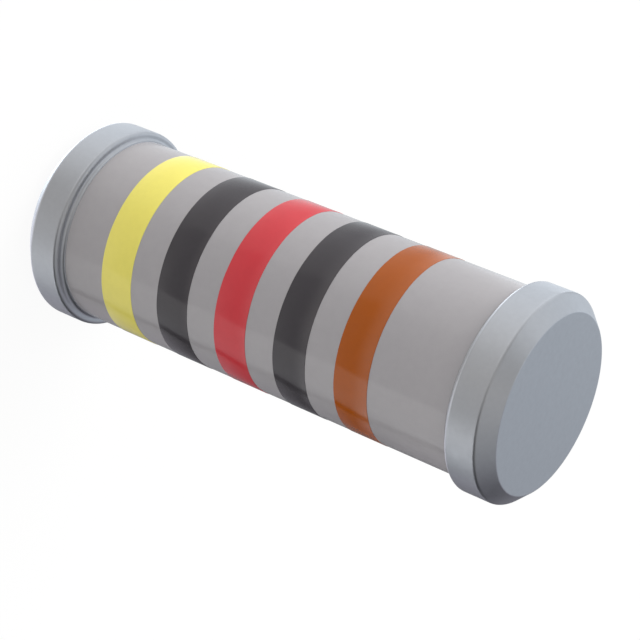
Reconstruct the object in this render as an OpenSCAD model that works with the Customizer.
// Leadless cylindrical film resistor, standing on the end where its colour code begins.
// A ceramic rod carries the resistive film, a steel cap is pressed over each end of it,
// lacquer covers the film between the caps, and five printed bands give the value.
// Millimetres. The axis is +Z, and the origin is the centre of the lower end face.

/* [Rod and film] */
// Length over both end caps
overall_l = 5.94; // [5.4:0.02:8]
// Diameter of the bare ceramic rod
rod_d = 1.84; // [1.5:0.02:2.4]
// Rounding of the rod's tumbled edges
rod_edge_r = 0.10; // [0.09:0.01:0.2]
// Thickness of the resistive film
film_t = 0.02; // [0.015:0.005:0.03]

/* [Trimming cut] */
// Turns of the cut that trims the film to its value
kerf_turns = 6.5; // [1:0.5:7]
// Rise of the cut in one turn
kerf_pitch = 0.56; // [0.3:0.02:0.6]
// Width of the cut along the axis
kerf_w = 0.08; // [0.04:0.01:0.12]

/* [End caps] */
// Length of one cap
cap_l = 0.505; // [0.4:0.005:0.7]
// Thickness of a cap's side wall
cap_wall = 0.16; // [0.14:0.01:0.3]
// Thickness of a cap's flat end
cap_end_t = 0.16; // [0.1:0.01:0.2]
// Bevel round the end face, at 45 degrees
cap_bevel = 0.15; // [0.1:0.01:0.2]
// Rounding where the bevel meets the side
cap_shoulder_r = 0.055; // [0.02:0.005:0.08]
// Rounding where the bevel meets the end face
cap_face_r = 0.02; // [0.01:0.005:0.04]
// Rounding of the mouth's outer edge
cap_mouth_r = 0.045; // [0.02:0.005:0.06]
// Length of the thin lip beyond the mouth, which ends flush with the lacquer
cap_lip_l = 0.045; // [0.045:0.005:0.1]
// Hollow round where the lip meets the mouth
cap_foot_r = 0.04; // [0.02:0.005:0.04]
// Rounding of the corner inside the cap
cap_inner_r = 0.08; // [0.04:0.01:0.08]

/* [Lacquer] */
// Thickness of the lacquer over the film
coat_t = 0.06; // [0.04:0.005:0.09]

/* [Colour bands] */
// Height of the first band's middle above the lower end face
first_band_z = 1.263; // [0.9:0.001:1.3]
// Distance between the middles of two neighbouring bands
band_pitch = 0.7535; // [0.5:0.0005:0.8]
// Width of a band along the axis
band_w = 0.4; // [0.2:0.002:0.46]
// Thickness of the printed ink
band_t = 0.01; // [0.01:0.005:0.03]

/* [Hidden] */

// Each radius grows from the one inside it, so every piece fits whatever the sizes are
rod_r = rod_d / 2;
film_r = rod_r + film_t;
cap_r = film_r + cap_wall;
coat_r = film_r + coat_t;

rod_l = overall_l - 2 * cap_end_t;
film_l = rod_l - 2 * rod_edge_r;
coat_l = overall_l - 2 * (cap_l + cap_lip_l);
kerf_l = kerf_turns * kerf_pitch;

// The flat ring at a cap's mouth, which its two rounds share
mouth_w = cap_wall - coat_t;
mouth_r = min(cap_mouth_r, 0.5 * mouth_w);
foot_r = min(cap_foot_r, 0.4 * mouth_w);

// Steps of the curves that are drawn as straight pieces
turn_steps = 96;
arc_steps = 6;
kerf_steps = 24;
// How far the trimming cut runs past both faces of the film
kerf_over = 0.05;

ceramic_white = [0.93, 0.92, 0.88];
film_bronze = [0.36, 0.32, 0.28];
tin_grey = [0.70, 0.73, 0.78];
lacquer_grey = [0.60, 0.59, 0.60];
band_yellow = [0.93, 0.87, 0.40];
band_black = [0.16, 0.16, 0.17];
band_red = [0.80, 0.20, 0.23];
band_brown = [0.66, 0.35, 0.15];

function unit(v) = v / norm(v);

// The arc that rounds one corner of an outline. A corner is [radius, height, rounding].
function corner_arc(before, corner, after) =
    let (
        p = [corner[0], corner[1]],
        back = unit([before[0], before[1]] - p),
        ahead = unit([after[0], after[1]] - p),
        half = acos(back * ahead) / 2,
        centre = p + unit(back + ahead) * corner[2] / sin(half),
        from = p + back * corner[2] / tan(half) - centre,
        start = atan2(from[1], from[0]),
        turn = sign(cross(-back, ahead)) * (180 - 2 * half)
    )
    [for (k = [0 : arc_steps])
        centre + corner[2] * [cos(start + turn * k / arc_steps), sin(start + turn * k / arc_steps)]];

// A closed outline with its corners rounded
function rounded(corners) =
    let (n = len(corners))
    [for (i = [0 : n - 1])
        each corners[i][2] > 0
            ? corner_arc(corners[(i + n - 1) % n], corners[i], corners[(i + 1) % n])
            : [[corners[i][0], corners[i][1]]]];

// Turns an outline of radius and height into a solid round the Z axis
module turned(outline) {
    rotate_extrude($fn = turn_steps) polygon(outline);
}

module ring(inner_r, outer_r, length) {
    turned([[inner_r, 0], [outer_r, 0], [outer_r, length], [inner_r, length]]);
}

module rod_form() {
    translate([0, 0, cap_end_t])
        turned(rounded([
            [0, 0, 0],
            [rod_r, 0, rod_edge_r],
            [rod_r, rod_l, rod_edge_r],
            [0, rod_l, 0]
        ]));
}

module ceramic_rod() {
    color(ceramic_white) rod_form();
}

// A block with a square section that follows a helix, wide enough to cut through the film
module trimming_cut() {
    steps = round(kerf_turns * kerf_steps);
    inner = rod_r - kerf_over;
    outer = film_r + kerf_over;
    section = [[inner, -kerf_w / 2], [outer, -kerf_w / 2], [outer, kerf_w / 2], [inner, kerf_w / 2]];
    points = [for (i = [0 : steps], s = section)
        let (a = 360 * kerf_turns * i / steps)
        [s[0] * cos(a), s[0] * sin(a), s[1] + kerf_l * i / steps]];
    sides = [for (i = [0 : steps - 1], j = [0 : 3])
        let (a = 4 * i + j, b = 4 * i + (j + 1) % 4)
        each [[a, b, b + 4], [a, b + 4, a + 4]]];
    ends = [[3, 2, 1, 0], [for (j = [0 : 3]) 4 * steps + j]];
    translate([0, 0, (overall_l - kerf_l) / 2])
        polyhedron(points = points, faces = concat(sides, ends), convexity = 10);
}

module film_form() {
    difference() {
        translate([0, 0, cap_end_t + rod_edge_r]) ring(rod_r, film_r, film_l);
        trimming_cut();
    }
}

module resistive_film() {
    color(film_bronze) film_form();
}

// A drawn cup: its flat end is at the origin and its mouth faces up. Beyond the mouth its wall goes on
// as a thin lip, with a hollow round between them, and the lacquer is rolled on up to that lip.
module end_cap() {
    color(tin_grey)
        turned(rounded([
            [0, 0, 0],
            [cap_r - cap_bevel, 0, cap_face_r],
            [cap_r, cap_bevel, cap_shoulder_r],
            [cap_r, cap_l, mouth_r],
            [coat_r, cap_l, foot_r],
            [coat_r, cap_l + cap_lip_l, 0],
            [film_r, cap_l + cap_lip_l, 0],
            [film_r, cap_end_t, cap_inner_r],
            [0, cap_end_t, 0]
        ]));
}

module lower_end_cap() {
    end_cap();
}

module upper_end_cap() {
    translate([0, 0, overall_l]) mirror([0, 0, 1]) end_cap();
}

// The lacquer flows into the trimming cut, so the rod and the film are taken out of it as they are
module lacquer_coat() {
    color(lacquer_grey)
        difference() {
            translate([0, 0, cap_l + cap_lip_l]) ring(0, coat_r, coat_l);
            rod_form();
            film_form();
        }
}

// A printed ring, counted from the lower end
module band(place, ink) {
    color(ink)
        translate([0, 0, first_band_z + place * band_pitch - band_w / 2])
            ring(coat_r, coat_r + band_t, band_w);
}

module first_digit_band() {
    band(0, band_yellow);
}

module second_digit_band() {
    band(1, band_black);
}

module third_digit_band() {
    band(2, band_red);
}

module multiplier_band() {
    band(3, band_black);
}

module tolerance_band() {
    band(4, band_brown);
}

ceramic_rod();
resistive_film();
lower_end_cap();
upper_end_cap();
lacquer_coat();
first_digit_band();
second_digit_band();
third_digit_band();
multiplier_band();
tolerance_band();
